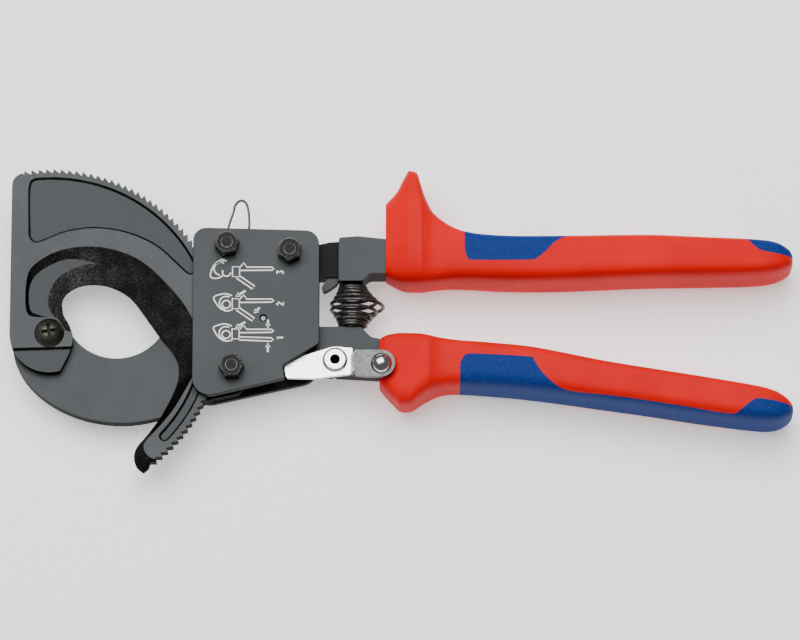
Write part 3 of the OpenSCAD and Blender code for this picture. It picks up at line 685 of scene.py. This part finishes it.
def release_wire():
    """Loop of dark wire with both ends bent down into the holding pawl."""
    radius, z, foot, bend = 0.4, 14.9, 11.7, 0.5
    flat = [
        (56.6, 32.3), (56.5, 33.6), (57, 36.2), (58.3, 40.2), (58.8, 42.4), (60.2, 44), (61.8, 43.8),
        (62.8, 42), (63.3, 38.6), (63.3, 35), (62.6, 32.2), (61, 29.8),
    ]
    loop = [at(p.x, p.y, z) for p in smooth([(x, y, 0) for x, y in flat], 8)]
    first, last = flat[0], flat[-1]
    path = [at(*first, foot), at(*first, z - bend)] + loop[1:-1] + [at(*last, z - bend), at(*last, foot)]
    wire = paint(tube("release_wire_fine", path, radius * MM), WIRE)
    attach(wire, "holder")
    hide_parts("release_wire")


handle_spring()
pawl_spring(
    "drive_pawl_spring", (62.5, 6.5), radius=2.6, wire=0.7, z=13.75, start=208, leg=3, body="driver",
)
pawl_spring(
    "holding_pawl_spring", (56.4, 28.1), radius=3.4, wire=0.6, z=13.65, start=290, leg=2.8, body="holder",
)
release_wire()

# ---- Unlocking pictures on the front cover: plain generic line drawings ----

COVER_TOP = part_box("front_cover")[1].z / MM
INK_LOW, INK_HIGH = 0.005, 0.03  # the ink's two faces above the cover
LINE_W, SHAFT_W, DIGIT_W = 0.4, 0.6, 0.46


def ribbon(bm, points, width=LINE_W, closed=False):
    """Flat printed line along points in the plane of the cover."""
    z0, z1 = COVER_TOP + INK_LOW, COVER_TOP + INK_HIGH
    flat = [Vector((x, y)) for x, y in points]
    count = len(flat)
    left, right = [], []
    for i, p in enumerate(flat):
        before = flat[(i - 1) % count] if closed or i else p
        after = flat[(i + 1) % count] if closed or i < count - 1 else p
        along = (after - before).normalized()
        side = Vector((-along.y, along.x)) * width / 2
        left.append(p + side)
        right.append(p - side)
    for i in range(count if closed else count - 1):
        k = (i + 1) % count
        corners = (left[i], right[i], right[k], left[k])
        low = [bm.verts.new(at(c.x, c.y, z0)) for c in corners]
        high = [bm.verts.new(at(c.x, c.y, z1)) for c in corners]
        bm.faces.new(high)
        bm.faces.new(low[::-1])
        for a in range(4):
            b = (a + 1) % 4
            bm.faces.new((low[a], low[b], high[b], high[a]))


def ring_points(x, y, r, a0=0, a1=360, n=18):
    angles = [math.radians(a0 + (a1 - a0) * i / n) for i in range(n + 1)]
    return [(x + r * math.cos(a), y + r * math.sin(a)) for a in angles]


def shifted(points, x, y):
    return [(px + x, py + y) for px, py in points]


def arrow(bm, x0, y0, x1, y1):
    """Arrow from the first point to the second, with an outlined head."""
    head, half_w = 1.1, 0.66
    along = Vector((x1 - x0, y1 - y0)).normalized()
    side = Vector((-along.y, along.x)) * half_w
    back = Vector((x1, y1)) - along * head
    ribbon(bm, [(x0, y0), back[:]], SHAFT_W)
    ribbon(bm, [(back + side)[:], (x1, y1), (back - side)[:]], closed=True)


# Outlines of the drawn tool, from the middle of its head.
PICTURE_X = 59.3
HEAD = [(-1.1, -1.6), (1.1, -1.7), (1.2, 1.6), (-1.1, 1.7)]
UPPER_HANDLE = [(1.2, 1.4), (2.5, 2.9), (3.5, 1.5), (11.5, 1.5), (12.1, 1.0), (11.5, 0.5), (1.4, 0.4)]
LOWER_SHUT = [(1.2, -1.0), (11.3, -1.3), (12.0, -1.9), (11.3, -2.4), (1.2, -2.0)]
LOWER_OPEN = [(1.1, -1.3), (6.0, -4.8), (5.2, -5.7), (0.1, -2.1)]
BLADE_SHUT = [
    (-1.2, 2.6), (-3.2, 3.3), (-5.2, 3.0), (-7.0, 2.1), (-6.3, 0.2), (-4.9, -1.5), (-3.0, -2.4), (-1.0, -2.0),
]
BLADE_OPEN = [(-3.0, 3.6), (-5.0, 3.7), (-6.8, 2.4), (-7.9, 0.2), (-8.0, -1.8), (-6.0, -2.2), (-4.2, -1.4)]


def picture(bm, y, handle_open, blade_open):
    """One step: a head, handles that are together or apart, and a blade that is shut or swung open."""
    ribbon(bm, shifted(HEAD, PICTURE_X, y), closed=True)
    ribbon(bm, shifted(UPPER_HANDLE, PICTURE_X, y))
    ribbon(bm, shifted(LOWER_OPEN if handle_open else LOWER_SHUT, PICTURE_X, y), closed=True)
    outline = BLADE_OPEN if blade_open else BLADE_SHUT
    curve = [tuple(p)[:2] for p in smooth([(px, py, 0) for px, py in outline], 4)]
    ribbon(bm, shifted(curve, PICTURE_X, y))
    edge_x, edge_y = (-4.9, 1.0) if blade_open else (-3.1, 0.3)
    edge_r, jaw_x, jaw_y, jaw_r = 2.1, -3.0, -0.2, 1.3
    ribbon(bm, ring_points(PICTURE_X + edge_x, y + edge_y, edge_r, 60, 265))
    ribbon(bm, ring_points(PICTURE_X + jaw_x, y + jaw_y, jaw_r, 150 if blade_open else 0, 360))


def digit(bm, name, x, y):
    """A plain numeral, turned a quarter turn anticlockwise."""
    h, w = 2.1, 1.05
    strokes = {
        "1": [(-w * 0.5, h * 0.3), (0, h * 0.5), (0, -h * 0.5)],
        "2": [(-w / 2, h * 0.3), (-w * 0.1, h * 0.5), (w / 2, h * 0.25), (-w / 2, -h / 2), (w / 2, -h / 2)],
        "3": [
            (-w / 2, h / 2), (w / 2, h / 2), (0, h * 0.08),
            (w / 2, -h * 0.2), (0, -h / 2), (-w / 2, -h * 0.3),
        ],
    }[name]
    ribbon(bm, [(x - v, y + u) for u, v in strokes], DIGIT_W)


def pictures():
    """The three steps one above the other, their numbers and the arrows that say where to press."""
    bm = bmesh.new()
    third, second, first = 19.5, 8.9, -1.1
    digit_x, squeeze_x = 73.4, 69.6
    picture(bm, third, handle_open=True, blade_open=True)
    picture(bm, second, handle_open=True, blade_open=False)
    picture(bm, first, handle_open=False, blade_open=False)
    for name, y in (("3", third - 0.2), ("2", second), ("1", first - 1.2)):
        digit(bm, name, digit_x, y)
    arrow(bm, squeeze_x, 3.6, squeeze_x, 0.9)
    arrow(bm, squeeze_x, -7.1, squeeze_x, -4.2)
    arrow(bm, 66.9, 7.6, 65.2, 5.8)
    arrow(bm, 62.4, second + 4.3, 59.4, second + 2.4)
    arrow(bm, 62.4, first + 3.9, 59.4, first + 2.2)
    arrow(bm, 52.9, third + 2.5, 55.6, third + 4.1)
    made = paint(finish_mesh(bm, "cover_pictures"), INK)
    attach(made, "frame")


pictures()

# ---- Floor, light and camera ----


def floor():
    """Pale floor just under the tool. It glows a little, so that its own light doesn't have to be bright."""
    half_size, drop = 3, 0.0002
    look = Looks("floor", Specular_IOR_Level=0.1, Emission_Strength=0.55)
    look.shader.inputs["Emission Color"].default_value = grey(1.0)
    tone = look.mix(look.noise(6, 2), grey(0.93), grey(0.95))
    bm = bmesh.new()
    bmesh.ops.create_grid(bm, x_segments=1, y_segments=1, size=half_size)
    made = finish_mesh(bm, "floor")
    made.location.z = -drop
    paint(made, look.done(tone, 0.6))


def area_light(name, place, aim, size, watts):
    data = bpy.data.lights.new(name, "AREA")
    data.shape = "RECTANGLE"
    data.size, data.size_y = size
    data.energy = watts
    lamp = new_object(name, data)
    lamp.location = place
    lamp.rotation_euler = (Vector(aim) - Vector(place)).to_track_quat("-Z", "Y").to_euler()


def lights():
    """One large softbox above, which the flat faces mirror, and a dim sky, so that walls stay black."""
    world = bpy.data.worlds.new("studio")
    world.use_nodes = True
    sky = world.node_tree.nodes["Background"]
    sky.inputs["Color"].default_value = (0.96, 0.98, 1.0, 1)
    sky.inputs["Strength"].default_value = 0.15
    bpy.context.scene.world = world
    area_light("softbox", place=(-0.25, 0.55, 1.5), aim=(0, 0, 0), size=(1.9, 1.5), watts=52)


def camera():
    """The view of the stored pose: almost straight down, from the side of the lower handle."""
    distance, elevation = 2.0, math.radians(74)
    width_at_object = 0.2552
    aim = Vector((-0.0006, 0.0008, 0.011))
    data = bpy.data.cameras.new("camera")
    data.sensor_width = 36
    data.lens = data.sensor_width * distance / width_at_object
    made = new_object("camera", data)
    made.location = aim + distance * Vector((0, -math.cos(elevation), math.sin(elevation)))
    made.rotation_euler = (aim - made.location).to_track_quat("-Z", "Y").to_euler()
    bpy.context.scene.camera = made


floor()
lights()
camera()
